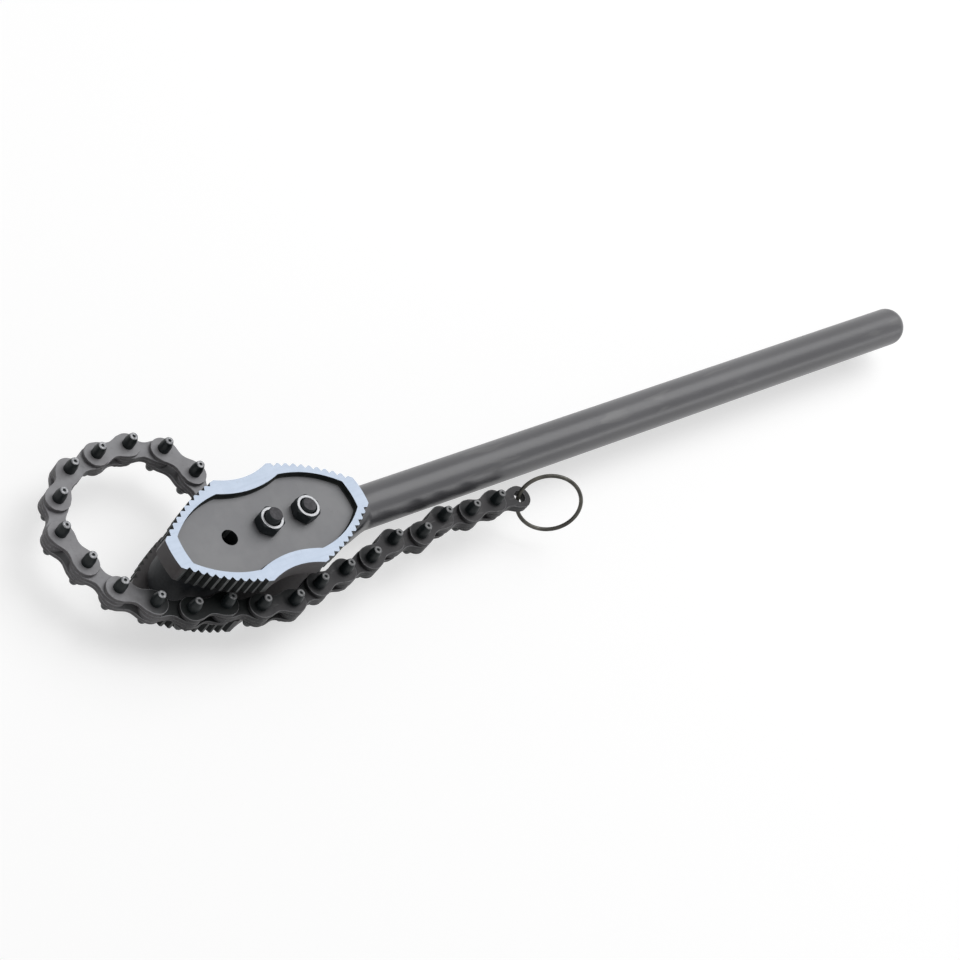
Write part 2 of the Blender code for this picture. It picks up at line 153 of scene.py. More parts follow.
# Points and sides of the drawn shapes
NOSE_STEPS = 5
EDGE_STEPS = 20
THROAT_STEPS = 32
FILLET_STEPS = 4
END_TURNS_DEG = range(0, 90, 6)
FLARE_STEPS = 16
HANDLE_SIDES = 72
HOLE_SIDES = 48
HEX_ROLL_TURNS_DEG = range(-30, 31, 15)
THREAD_SIDES = 48
THREAD_STEPS_A_TURN = 10
CHAMFER_SIDES = 72
SPACER_SIDES = 64
STRAP_STEPS = 16
PIN_SIDES = 40
LINK_END_STEPS = 18
LINK_WAIST_STEPS = 12
RING_SIDES = 128
WIRE_SIDES = 20

# Heights, places and fits
PANEL_HEIGHT = JAW_GAP / 2 + JAW_THICKNESS - RECESS_DEPTH
NUT_SEAT = PANEL_HEIGHT + FIT_GAP
NUT_TOP = NUT_SEAT + NUT_HEIGHT
MID_HEIGHT = NUT_SEAT + BOLT_HEAD_HEIGHT
BOLT_PLACES = {"centre": 0.0, "outer": BOLT_SPACING}
HOLE_PLACES = (-BOLT_SPACING, 0.0, BOLT_SPACING)
BOLT_BORE_RADIUS = BOLT_DIAMETER / 2 + PIN_CLEARANCE
PIN_BORE_RADIUS = PIN_DIAMETER / 2 + PIN_CLEARANCE
INNER_STACK = FIT_GAP / 2 + LINK_PLATE_THICKNESS
OUTER_STACK = INNER_STACK + FIT_GAP + LINK_PLATE_THICKNESS
SHACKLE_PLATE_THICKNESS = (JAW_GAP - TONGUE_THICKNESS) / 2 - 2 * SHACKLE_CLEARANCE
SIDES = (("front", 1), ("rear", -1))

# How high the noise is where a scratch begins and is full
SCRATCH_SHARES = (0.63, 0.70)

# Photograph
PHOTO_WIDTH = 960
FOCAL_PIXELS = 2727.5
SENSOR_WIDTH = 36.0
CAMERA_PLACE = (-1.2048, -0.5466, 1.5609)
CAMERA_RIGHT = (0.7039, -0.5208, 0.4830)
CAMERA_DOWN = (-0.2465, -0.8168, -0.5216)
CAMERA_FORWARD = (0.6661, 0.2481, -0.7034)
CAMERA_NEAREST = 0.01
CAMERA_FARTHEST = 50.0

# Studio: each light has a name, a shape, a direction, two sizes and a radiance
WHITE = (1.0, 1.0, 1.0, 1.0)
STUDIO_MIDDLE = 0.30
FLOOR_SIZE = 30.0
FLOOR_DROP = 0.0005
FLOOR_LEVEL = 0.50
FLOOR_LIFT = 0.58
SURROUND_LEVEL = 0.27
LIGHT_DISTANCE = 5.0
LIGHTS = (
    ("back softbox", "ELLIPSE", (0.516, 0.120, 0.848), 4.0, 5.2, 2.4),
    ("overhead softbox", "RECTANGLE", (0.10, 0.12, 1.0), 3.1, 3.1, 1.9),
    ("low side strip", "RECTANGLE", (0.67, -0.70, 0.22), 2.5, 1.1, 2.3),
)


class Value:
    """A shading value, on which arithmetic adds Math nodes."""

    def __init__(self, shading, socket):
        self.shading = shading
        self.socket = socket

    def maths(self, operation, first, second):
        return self.shading.node("Math", {"operation": operation}, {0: first, 1: second})

    def __add__(self, other):
        return self.maths("ADD", self, other)

    def __radd__(self, other):
        return self.maths("ADD", other, self)

    def __sub__(self, other):
        return self.maths("SUBTRACT", self, other)

    def __rsub__(self, other):
        return self.maths("SUBTRACT", other, self)

    def __mul__(self, other):
        return self.maths("MULTIPLY", self, other)

    def __rmul__(self, other):
        return self.maths("MULTIPLY", other, self)

    def step(self, low, high):
        """0 below low and 1 above high, with a smooth rise between them."""
        return self.shading.node(
            "MapRange",
            {"interpolation_type": "SMOOTHSTEP", "clamp": True},
            {"Value": self, "From Min": low, "From Max": high, "To Min": 0.0, "To Max": 1.0},
        )


class Shading:
    """The nodes of one material or of the surround."""

    def __init__(self, tree):
        self.tree = tree

    def node(self, kind, settings=None, values=None, output=0):
        """Add a node of this kind, set it, feed its sockets, and give back one output."""
        made = self.tree.nodes.new("ShaderNode" + kind)
        for name, setting in (settings or {}).items():
            setattr(made, name, setting)
        for name, value in (values or {}).items():
            self.feed(made.inputs[name], value)
        return Value(self, made.outputs[output])

    def feed(self, socket, value):
        """Link a value to a socket, or set the socket to a constant."""
        if isinstance(value, Value):
            self.tree.links.new(value.socket, socket)
        else:
            socket.default_value = value

    def seen(self):
        """1 for rays from the camera, from gloss and through glass, and 0 for light itself."""
        kinds = ("Is Camera Ray", "Is Glossy Ray", "Is Transmission Ray")
        camera, glossy, clear = [self.node("LightPath", output=kind) for kind in kinds]
        return camera + glossy + clear


class Finish(Shading):
    """One surface finish: a Principled material and the nodes that feed it."""

    def __init__(self, name, metallic, roughness, gloss):
        self.material = bpy.data.materials.new(name)
        self.material.use_nodes = True
        super().__init__(self.material.node_tree)
        self.shader = self.tree.nodes["Principled BSDF"]
        self.shader.inputs["Metallic"].default_value = metallic
        self.shader.inputs["Roughness"].default_value = roughness
        self.shader.inputs["Specular IOR Level"].default_value = gloss
        self.place = self.node("TexCoord", output="Object")

    def place_along(self, axis):
        """Place along X, Y or Z, in metres."""
        return self.node("SeparateXYZ", None, {0: self.place}, axis)

    def noise(self, scale, detail=4.0, roughness=0.55, stretch=None):
        """Noise from 0 to 1 over the piece, at so many cells a metre."""
        place = self.place
        if stretch:
            place = self.node("VectorMath", {"operation": "MULTIPLY"}, {0: place, 1: stretch})
        return self.node(
            "TexNoise",
            {"noise_dimensions": "3D"},
            {"Vector": place, "Scale": scale, "Detail": detail, "Roughness": roughness},
        )

    def scratches(self, scale, stretch):
        """Thin stretched streaks, 1 on a scratch and 0 off it."""
        return self.noise(scale, 2.0, 0.5, stretch).step(*SCRATCH_SHARES)

    def blend(self, share, first, second):
        """A colour between two colours, by the Mix node's colour sockets 6 and 7 and output 2."""
        kind = {"data_type": "RGBA", "blend_type": "MIX"}
        ends = {"Factor": share, 6: self.colour(first), 7: self.colour(second)}
        return self.node("Mix", kind, ends, 2)

    def colour(self, value):
        """A colour with its alpha, or a value as it is."""
        return value if isinstance(value, Value) else (*value, 1.0)

    def bump(self, height, strength, distance):
        """Surface relief from a height."""
        sizes = {"Strength": strength, "Distance": distance, "Height": height}
        self.feed(self.shader.inputs["Normal"], self.node("Bump", None, sizes))

    def surface(self, colour, roughness):
        """Feed the shader its colour and roughness, and give back the finished material."""
        self.feed(self.shader.inputs["Base Color"], colour)
        self.feed(self.shader.inputs["Roughness"], roughness)
        return self.material


def grey(level):
    """A grey of one lightness."""
    return (level, level, level)


def handle_paint():
    """Satin grey paint over forged steel, with painted shade near black where the flare meets the
    tongue.
    """
    finish = Finish("handle paint", 0.0, 0.3, 0.52)
    hills = finish.noise(24.0, 3.0, stretch=(0.35, 1.0, 1.0))
    grain = finish.noise(900.0, 3.0)
    speck = finish.noise(240.0, 5.0, 0.7)
    scuff = finish.scratches(60.0, (0.25, 1.6, 1.0))
    shade = hills.step(0.35, 0.7)
    painted = finish.blend(shade, (0.072, 0.072, 0.078), (0.090, 0.090, 0.097))
    spotted = finish.blend(speck.step(0.60, 0.72) * 0.4, painted, grey(0.066))
    scuffed = finish.blend(scuff * 0.3, spotted, grey(0.17))
    # Painted shade near black for the tongue end of the flare, between the jaws
    shaded = finish.blend(speck.step(0.35, 0.65), (0.009, 0.011, 0.013), (0.022, 0.024, 0.027))
    along = finish.place_along("X") + (hills - 0.5) * 0.008
    unshaded = along.step(FLARE_START, TONGUE_SHADE_END)
    finish.bump(hills * 0.9 + grain * 0.05 + speck * 0.10 - scuff * 0.05, 0.3, 0.0010)
    worn_and_shaded = finish.blend(unshaded, shaded, scuffed)
    return finish.surface(worn_and_shaded, 0.25 + hills * 0.05 + speck * 0.08)


def shaded_tongue():
    """Bare forged steel between the jaws, dull, painted near black as the shade between the jaws,
    with specks and smears.
    """
    finish = Finish("oiled tongue", 0.0, 0.45, 0.2)
    speck = finish.noise(240.0, 5.0, 0.7)
    smear = finish.noise(60.0, 4.0, 0.6, (0.5, 1.0, 1.0))
    base = finish.blend(speck.step(0.35, 0.65), (0.008, 0.010, 0.012), (0.020, 0.022, 0.026))
    shaded_and_smeared = finish.blend(smear.step(0.45, 0.7) * 0.5, base, (0.030, 0.032, 0.036))
    finish.bump(speck * 0.5 + smear * 0.5, 0.35, 0.0006)
    return finish.surface(shaded_and_smeared, 0.45 + speck * 0.12)


def jaw_paint():
    """Dull grey paint on the jaws' inner faces, throats and noses."""
    finish = Finish("jaw paint", 0.0, 0.5, 0.3)
    cloud = finish.noise(40.0, 4.0, 0.6)
    speck = finish.noise(260.0, 5.0, 0.7)
    rust = finish.noise(75.0, 4.0, 0.6)
    base = finish.blend(cloud.step(0.35, 0.68), (0.092, 0.086, 0.088), (0.125, 0.118, 0.120))
    warm = finish.blend(rust.step(0.52, 0.72) * 0.5, base, (0.085, 0.070, 0.066))
    spotted = finish.blend(speck.step(0.58, 0.72) * 0.5, warm, grey(0.05))
    finish.bump(speck * 0.5 + cloud * 0.5, 0.35, 0.0006)
    return finish.surface(spotted, 0.46 + speck * 0.12)


def cast_panel():
    """Grey paint in the jaws' recesses, with a sandy cast grain."""
    finish = Finish("cast panel paint", 0.0, 0.42, 0.5)
    sand = finish.noise(1300.0, 4.0, 0.65)
    cloud = finish.noise(34.0, 3.0)
    stain = finish.noise(110.0, 5.0, 0.7)
    base = finish.blend(cloud.step(0.35, 0.68), (0.172, 0.174, 0.184), (0.204, 0.206, 0.214))
    stained = finish.blend(stain.step(0.58, 0.74) * 0.35, base, grey(0.13))
    finish.bump(sand * 0.35 + stain * 0.5 + cloud * 0.3, 0.4, 0.0006)
    return finish.surface(stained, 0.40 + sand * 0.12 + cloud * 0.06)


def milled_rim():
    """Bright milled steel on the jaws' outer rims, faintly blue, with cutter lines."""
    finish = Finish("milled rim", 0.35, 0.42, 0.5)
    lines = finish.noise(520.0, 2.0, 0.5, (0.06, 1.0, 1.0))
    cloud = finish.noise(60.0, 4.0, 0.6)
    nick = finish.scratches(750.0, (1.0, 0.3, 1.0))
    base = finish.blend(cloud.step(0.3, 0.7), (0.37, 0.43, 0.52), (0.42, 0.48, 0.575))
    lined = finish.blend(lines.step(0.4, 0.75) * 0.35, base, (0.32, 0.375, 0.465))
    nicked = finish.blend(nick * 0.22, lined, (0.30, 0.34, 0.40))
    finish.bump(lines * 0.5 - nick * 0.2, 0.22, 0.0002)
    return finish.surface(nicked, 0.42 + cloud * 0.12)


def black_oxide_and_shade():
    """Black oxide on the jaws' teeth, and painted shade in the recess walls, rubbed lighter in
    places.
    """
    finish = Finish("blackened flank", 0.0, 0.5, 0.15)
    rub = finish.noise(95.0, 5.0, 0.65)
    grain = finish.noise(700.0, 3.0)
    base = finish.blend(rub.step(0.45, 0.72), (0.010, 0.012, 0.012), (0.034, 0.036, 0.035))
    finish.bump(grain * 0.4 + rub * 0.5, 0.3, 0.0005)
    return finish.surface(base, 0.45 + grain * 0.15 + rub * 0.08)


def tooth_land():
    """Rubbed lands on the teeth's tips."""
    finish = Finish("rubbed tooth land", 0.2, 0.45, 0.4)
    rub = finish.noise(320.0, 4.0, 0.6, (1.0, 1.0, 0.3))
    base = finish.blend(rub.step(0.35, 0.7), (0.105, 0.110, 0.110), (0.045, 0.048, 0.048))
    finish.bump(rub, 0.3, 0.0003)
    return finish.surface(base, 0.42 + rub * 0.14)


def dark_fastener():
    """Oiled black steel of the bolts, nuts and shackle."""
    finish = Finish("dark fastener steel", 0.0, 0.4, 0.2)
    rub = finish.noise(180.0, 4.0, 0.6)
    grain = finish.noise(1400.0, 3.0)
    base = finish.blend(rub.step(0.45, 0.75), (0.011, 0.015, 0.017), (0.030, 0.035, 0.038))
    finish.bump(grain * 0.3 + rub * 0.4, 0.25, 0.0003)
    return finish.surface(base, 0.36 + rub * 0.18)


def sawn_end():
    """Dull grey ends of the bolts."""
    finish = Finish("sawn bolt end", 0.0, 0.5, 0.2)
    saw = finish.noise(700.0, 3.0, 0.6, (0.2, 1.0, 1.0))
    stain = finish.noise(260.0, 4.0, 0.6)
    base = finish.blend(stain.step(0.4, 0.68), (0.040, 0.039, 0.044), (0.070, 0.068, 0.075))
    finish.bump(saw * 0.6 + stain * 0.3, 0.3, 0.0003)
    return finish.surface(base, 0.46 + saw * 0.15)


def bright_face():
    """Bright faced steel of the nuts' tops."""
    finish = Finish("bright faced steel", 0.4, 0.4, 0.5)
    cloud = finish.noise(420.0, 4.0, 0.6)
    grain = finish.noise(2200.0, 2.0)
    base = finish.blend(cloud.step(0.35, 0.72), (0.46, 0.465, 0.48), (0.37, 0.375, 0.39))
    finish.bump(grain * 0.4 + cloud * 0.3, 0.2, 0.0002)
    return finish.surface(base, 0.38 + cloud * 0.16)


def pin_cap():
    """Peened grey ends of the chain pins, darkened with painted shade along the run and in the
    tail.
    """
    finish = Finish("peened pin end", 0.25, 0.4, 0.5)
    cloud = finish.noise(420.0, 4.0, 0.6)
    unshaded = finish.blend(cloud.step(0.42, 0.62), (0.37, 0.375, 0.39), (0.17, 0.175, 0.185))
    # Painted shade darkens the caps along the run and in the tail
    base = finish.blend(shade_on_chain(finish) * 0.7, unshaded, grey(0.06))
    finish.bump(cloud, 0.3, 0.0002)
    return finish.surface(base, 0.38 + cloud * 0.16)


def shade_on_chain(finish):
    """How much painted shade the chain has: none round the loop, dark along the run by the jaws and
    in the tail.
    """
    drift = (finish.noise(55.0, 3.0) - 0.5) * 0.02
    along = finish.place_along("X") + drift
    across = finish.place_along("Y") + drift
    return along.step(*CHAIN_SHADE_FROM_X) * (1 - across.step(*CHAIN_SHADE_UP_TO_Y))


def shade_under_jaws(finish):
    """How much painted shade falls on the chain: most where the run passes under the jaws."""
    drift = (finish.noise(70.0, 3.0) - 0.5) * 0.016
    along = finish.place_along("X") + drift
    across = finish.place_along("Y") + drift
    fore, aft = along.step(*JAW_SHADE_FROM_X), 1 - along.step(*JAW_SHADE_UP_TO_X)
    return fore * aft * across.step(*JAW_SHADE_FROM_Y) * (1 - across.step(*JAW_SHADE_UP_TO_Y))


def pin_shadow(finish):
    """How much painted shadow lies round the pins of the run and the tail, most on the handle's
    side.
    """
    in_plan = (1.0, 1.0, 0.0)
    flat = finish.node("VectorMath", {"operation": "MULTIPLY"}, {0: finish.place, 1: in_plan})
    nearest = None
    for number in range(FIRST_PIN_SHADOW_LINK, LINK_COUNT):
        hinge = PLACES[f"link_{number:02d}"].translation
        middle = (hinge.x - PIN_SHADOW_OFFSET / 2, hinge.y + PIN_SHADOW_OFFSET, 0.0)
        apart = finish.node("VectorMath", {"operation": "DISTANCE"}, {0: flat, 1: middle}, 1)
        nearest = apart if nearest is None else apart.maths("MINIMUM", nearest, apart)
    ragged = nearest + (finish.noise(260.0, 3.0) - 0.5) * 0.004
    return 1 - ragged.step(PIN_SHADOW_REACH * PIN_SHADOW_FULL_SHARE, PIN_SHADOW_REACH)


def chain_face():
    """Rolled faces of the chain plates, mottled, with fine grain, rubbed streaks, and painted shade
    and shadow on the run and tail.
    """
    finish = Finish("chain plate face", 0.0, 0.45, 0.16)
    cloud = finish.noise(70.0, 4.0, 0.6)
    mottle = finish.noise(330.0, 5.0, 0.7)
    grain = finish.noise(1500.0, 3.0)
    streak = finish.scratches(230.0, (0.3, 1.3, 1.0))
    # A lit tone round the loop, and a painted shade tone for the run by the jaws and the tail
    unshaded = finish.blend(cloud.step(0.3, 0.7), (0.325, 0.325, 0.338), (0.268, 0.265, 0.276))
    shaded_tone = finish.blend(cloud.step(0.3, 0.7), (0.060, 0.058, 0.060), (0.046, 0.045, 0.048))
    base = finish.blend(shade_on_chain(finish), unshaded, shaded_tone)
    spotted = finish.blend(mottle.step(0.55, 0.75) * 0.5, base, finish.blend(0.5, base, grey(0.04)))
    rubbed = finish.blend(streak * 0.12, spotted, grey(0.30))
    # Painted shadow round the pins of the run and the tail
    pin_shadowed = finish.blend(pin_shadow(finish) * 0.92, rubbed, (0.006, 0.007, 0.008))
    # Painted shade where the run passes under the jaws
    jaw_shaded = finish.blend(shade_under_jaws(finish) * 0.92, pin_shadowed, (0.006, 0.008, 0.008))
    finish.bump(mottle * 0.5 + grain * 0.12 + cloud * 0.3, 0.35, 0.0005)
    return finish.surface(jaw_shaded, 0.42 + mottle * 0.20)


def plate_rim():
    """Rubbed, lighter edges of the chain plates, darkened with painted shade along the run and in
    the tail.
    """
    finish = Finish("rubbed plate rim", 0.1, 0.42, 0.4)
    rub = finish.noise(260.0, 4.0, 0.6)
    # A lit tone round the loop, and a painted shade tone for the run and the tail
    unshaded = finish.blend(rub.step(0.35, 0.7), (0.30, 0.30, 0.312), (0.19, 0.19, 0.198))
    shaded_tone = finish.blend(rub.step(0.35, 0.7), (0.12, 0.12, 0.125), (0.060, 0.060, 0.063))
    base = finish.blend(shade_on_chain(finish), unshaded, shaded_tone)
    finish.bump(rub, 0.25, 0.0003)
    return finish.surface(base, 0.34 + rub * 0.14)


def plate_side():
    """Sheared sides of the chain plates, painted darker than the faces as their shade, and darker
    still as painted shade by the jaws and in the tail.
    """
    finish = Finish("sheared plate side", 0.0, 0.5, 0.25)
    shear = finish.noise(420.0, 3.0, 0.6, (1.0, 1.0, 0.25))
    stain = finish.noise(150.0, 4.0, 0.6)
    # Sides painted darker than the faces as shade, and darker still as painted shade along the run
    # and tail
    unshaded = finish.blend(stain.step(0.35, 0.7), (0.118, 0.112, 0.118), (0.165, 0.160, 0.166))
    shaded_tone = finish.blend(stain.step(0.4, 0.72), (0.020, 0.020, 0.022), (0.058, 0.056, 0.058))
    base = finish.blend(shade_on_chain(finish), unshaded, shaded_tone)
    finish.bump(shear * 0.7 + stain * 0.3, 0.35, 0.0004)
    return finish.surface(base, 0.46 + shear * 0.15)


def pin_shank():
    """Hardened pin sides, nearly black."""
    finish = Finish("hardened pin", 0.0, 0.35, 0.25)
    rub = finish.noise(260.0, 4.0, 0.6)
    base = finish.blend(rub.step(0.5, 0.78), (0.009, 0.013, 0.014), (0.036, 0.040, 0.043))
    finish.bump(rub, 0.2, 0.0003)
    return finish.surface(base, 0.32 + rub * 0.2)


def ring_wire_finish():
    """Drawn wire, dull with an olive cast and brighter rubs."""
    finish = Finish("ring wire", 0.4, 0.35, 0.5)
    rub = finish.noise(70.0, 4.0, 0.6)
    grain = finish.noise(1200.0, 3.0)
    base = finish.blend(rub.step(0.4, 0.7), (0.045, 0.043, 0.036), (0.125, 0.120, 0.102))
    finish.bump(grain * 0.3 + rub * 0.4, 0.25, 0.0003)
    return finish.surface(base, 0.28 + rub * 0.2)


def blank_object(name, mesh):
    """A working object, on which modifiers are tried."""
    blank = bpy.data.objects.new(name, mesh)
    bpy.context.scene.collection.objects.link(blank)
    return blank


def applied(blank):
    """The evaluated mesh of a working object, which is then removed."""
    bpy.context.view_layer.update()
    evaluated = blank.evaluated_get(bpy.context.evaluated_depsgraph_get())
    mesh = bpy.data.meshes.new_from_object(evaluated)
    mesh.name = blank.name
    bpy.data.objects.remove(blank)
    return mesh


def circle(radius, sides, centre=(0.0, 0.0)):
    """Corners of a regular outline round a centre, turned a quarter of a side."""
    turns = [2 * math.pi * (i + 0.25) / sides for i in range(sides)]
    return [(centre[0] + radius * math.cos(t), centre[1] + radius * math.sin(t)) for t in turns]


def flat_mesh(name, outlines, thickness):
    """Solid plate from closed outlines, the first the edge and the rest its holes."""
    curve = bpy.data.curves.new(name, "CURVE")
    curve.dimensions = "2D"
    curve.fill_mode = "BOTH"
    curve.extrude = thickness / 2
    for outline in outlines:
        spline = curve.splines.new("POLY")
        spline.points.add(len(outline) - 1)
        for point, (x, y) in zip(spline.points, outline):
            point.co = (x, y, 0.0, 1.0)
        spline.use_cyclic_u = True
    mesh = applied(blank_object(name, curve))
    bpy.data.curves.remove(curve)
    work = bmesh.new()
    work.from_mesh(mesh)
    bmesh.ops.remove_doubles(work, verts=work.verts, dist=MERGE_DISTANCE)
    bmesh.ops.recalc_face_normals(work, faces=work.faces)
    work.to_mesh(mesh)
    work.free()
    return mesh


def turned(name, profile, sides):
    """Mesh turned round Z from a profile at positive X that runs from top to bottom."""
    mesh = bpy.data.meshes.new(name)
    edges = [(i, i + 1) for i in range(len(profile) - 1)]
    mesh.from_pydata([(x, 0.0, z) for x, z in profile], edges, [])
    blank = blank_object(name, mesh)
    screw = blank.modifiers.new("turn", "SCREW")
    screw.steps = sides
    screw.render_steps = sides
    screw.use_merge_vertices = True
    screw.merge_threshold = MERGE_DISTANCE
    screw.use_smooth_shade = False
    return applied(blank)


def combined(name, base, others, operation):
    """A mesh after a Boolean with each of the other meshes in turn."""
    blank = blank_object(name, base)
    tools = [blank_object(f"{name}_tool_{i}", other) for i, other in enumerate(others)]
    for tool in tools:
        step = blank.modifiers.new(tool.name, "BOOLEAN")
        step.operation = operation
        step.solver = "EXACT"
        step.object = tool
    mesh = applied(blank)
    for tool in tools:
        bpy.data.objects.remove(tool)
    return mesh


def eased(mesh, width, hard_deg=PLATE_HARD_DEG):
    """The same mesh with its hard edges rounded over and its shading smoothed."""
    work = bmesh.new()
    work.from_mesh(mesh)
    bmesh.ops.dissolve_limit(
        work,
        angle_limit=math.radians(SAME_FACE_DEG),
        verts=work.verts,
        edges=work.edges,
        use_dissolve_boundaries=False,
    )
    work.to_mesh(mesh)
    work.free()
    mesh.shade_smooth()
    blank = blank_object(mesh.name, mesh)
    bevel = blank.modifiers.new("ease", "BEVEL")
    bevel.width = width
    bevel.segments = EDGE_SEGMENTS
    bevel.limit_method = "ANGLE"
    bevel.angle_limit = math.radians(hard_deg)
    weigh = blank.modifiers.new("weigh", "WEIGHTED_NORMAL")
    weigh.keep_sharp = True
    return applied(blank)


def smoothed(mesh, hard_deg):
    """The same mesh shaded smooth, with its hard edges kept."""
    mesh.shade_smooth()
    mesh.set_sharp_from_angle(angle=math.radians(hard_deg))
    return mesh


def lofted(name, sections, closed=False):
    """Mesh through sections of as many points each, with flat ends or closed on itself."""
    work = bmesh.new()
    rings = [[work.verts.new(point) for point in points] for points in sections]
    following = rings[1:] + rings[:1] if closed else rings[1:]
    for here, there in zip(rings, following):
        for i in range(len(here)):
            j = (i + 1) % len(here)
            work.faces.new((here[i], here[j], there[j], there[i]))
    if not closed:
        work.faces.new(list(reversed(rings[0])))
        work.faces.new(rings[-1])
    bmesh.ops.recalc_face_normals(work, faces=work.faces)
    mesh = bpy.data.meshes.new(name)
    work.to_mesh(mesh)
    work.free()
    return mesh


def finished(mesh, *materials, pick=None):
    """Give a mesh its materials, each face the one that pick names by its middle and normal."""
    mesh.materials.clear()
    for material in materials:
        mesh.materials.append(material)
    for face in mesh.polygons:
        face.material_index = pick(face.center, face.normal) if pick else 0
    return mesh


def show(name, mesh, matrix, body, slot, *nodes):
    """Put a copy of a mesh in place on its body, standing for the frame's nodes."""
    placed = mesh.copy()
    placed.name = name
    placed.transform(matrix)
    piece = blank_object(name, placed)
    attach(piece, body)
    if nodes:
        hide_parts(*nodes)


def lifted(height, along=0.0):
    """A frame raised along the bolts."""
    return Matrix.Translation((along, 0.0, height))


def bowed_line(start, end, sagitta, shares):
    """Points from start towards end on a shallow bow that swells to its left by the sagitta."""
    start, end = Vector(start), Vector(end)
    along = end - start
    left = Vector((-along.y, along.x)).normalized()
    return [start + along * s + left * (4 * sagitta * s * (1 - s)) for s in shares]


def jaw_outline(inset, toothed):
    """Outline of a jaw, drawn in from its edge by an inset, with or without its teeth."""
    nose = Vector((JAW_LENGTH / 2 - inset, NOSE_HEIGHT / 2))
    shoulder = Vector((
        SHOULDER_SPAN / 2 + inset * SHOULDER_INSET_SHARE,
        JAW_HEIGHT / 2 - inset,
    ))
    quarter = bowed_line((nose.x, 0.0), nose, 0.0, [i / NOSE_STEPS for i in range(NOSE_STEPS)])
    quarter += toothed_edge(nose, shoulder) if toothed else plain_edge(nose, shoulder)
    half_throat = [i / THROAT_STEPS for i in range(THROAT_STEPS // 2)]
    quarter += bowed_line(shoulder, (-shoulder.x, shoulder.y), THROAT_DEPTH, half_throat)
    quarter = [(nose_bow(x, y, inset), y) for x, y in quarter]
    middle = (0.0, shoulder.y - THROAT_DEPTH)
    top = quarter + [middle] + [(-x, y) for x, y in reversed(quarter)]
    return top + [(-x, -y) for x, y in top[1:-1]]


def nose_bow(x, y, inset):
    """Push the points of the nose out on a shallow bow."""
    if x < JAW_LENGTH / 2 - inset - FIT_GAP:
        return x
    return x + NOSE_SAGITTA * (1 - (2 * y / NOSE_HEIGHT) ** 2)


def plain_edge(nose, shoulder):
    """The smooth bowed edge from nose to shoulder."""
    shares = [i / EDGE_STEPS for i in range(EDGE_STEPS)]
    return bowed_line(nose, shoulder, -TOOTHED_EDGE_SAGITTA, shares)


def toothed_edge(nose, shoulder):
    """The bowed edge from nose to shoulder with its row of teeth."""
    tips = []
    for tooth in range(TEETH_PER_EDGE):
        flat = (tooth + (1 - TOOTH_TIP_SHARE) / 2, tooth + (1 + TOOTH_TIP_SHARE) / 2)
        tips += [(tooth, TOOTH_DEPTH), (flat[0], 0.0), (flat[1], 0.0)]
    tips[0] = (0, 0.0)
    shares = [place_on_edge / TEETH_PER_EDGE for place_on_edge, _ in tips]
    points = bowed_line(nose, shoulder, -TOOTHED_EDGE_SAGITTA, shares)
    along = (shoulder - nose).normalized()
    inward = Vector((-along.y, along.x))
    return [point + inward * depth for point, (_, depth) in zip(points, tips)]


def make_jaws():
    """Toothed jaws with milled rims, painted recesses, blackened tooth flanks, and recess walls
    painted black as shade.
    """
    holes = [circle(BOLT_HOLE_DIAMETER / 2, HOLE_SIDES, (x, 0.0)) for x in HOLE_PLACES]
    plate = flat_mesh("jaw", [jaw_outline(0.0, True)] + holes, JAW_THICKNESS)
    pocket = flat_mesh("jaw_pocket", [jaw_outline(RIM_WIDTH, False)], RECESS_DEPTH + CUT_OVERRUN)
    pocket.transform(lifted(JAW_THICKNESS / 2 - RECESS_DEPTH / 2 + CUT_OVERRUN / 2))
    jaw = eased(combined("jaw", plate, [pocket], "DIFFERENCE"), HEX_EDGE, JAW_HARD_DEG)
    top, recess_floor = JAW_THICKNESS / 2, JAW_THICKNESS / 2 - RECESS_DEPTH
    within = jaw_outline(RIM_WIDTH - MERGE_DISTANCE, False)
    nose_to_shoulder = Vector(((SHOULDER_SPAN - JAW_LENGTH) / 2, (JAW_HEIGHT - NOSE_HEIGHT) / 2))
    slope = nose_to_shoulder.normalized()
    rim, panel, flank, paint, land = range(5)

    def region(middle, normal):
        if normal.z > LEANING_SHARES["jaw"] and middle.z > top - HEX_EDGE:
            return rim
        if middle.z > recess_floor - HEX_EDGE and inside(within, middle):
            # Recess walls take the black finish as painted shade
            return panel if normal.z > FACING_SHARE else flank
        at_throat = abs(middle.x) < SHOULDER_SPAN / 2
        at_nose = abs(middle.x) > JAW_LENGTH / 2 - NOSE_SAGITTA
        if at_throat or at_nose or normal.z < -FACING_SHARE:
            return paint
        outward = abs(normal.x) * slope.y - abs(normal.y) * slope.x
        return land if outward > SQUARE_SHARE else flank

    finished(jaw, MILLED_RIM, CAST_PANEL, BLACK_OXIDE_AND_SHADE, JAW_PAINT, tooth_land(), pick=region)
    for side, place in jaw_places().items():
        show(f"{side}_jaw_look", jaw, place, "wrench", "painted_grey", f"{side}_jaw")


def jaw_places():
    """Where each jaw's middle is, with the rear one turned over."""
    middle = (JAW_GAP + JAW_THICKNESS) / 2
    over = Matrix.Rotation(math.pi, 4, "X")
    return {"front": lifted(MID_HEIGHT + middle), "rear": lifted(MID_HEIGHT - middle) @ over}


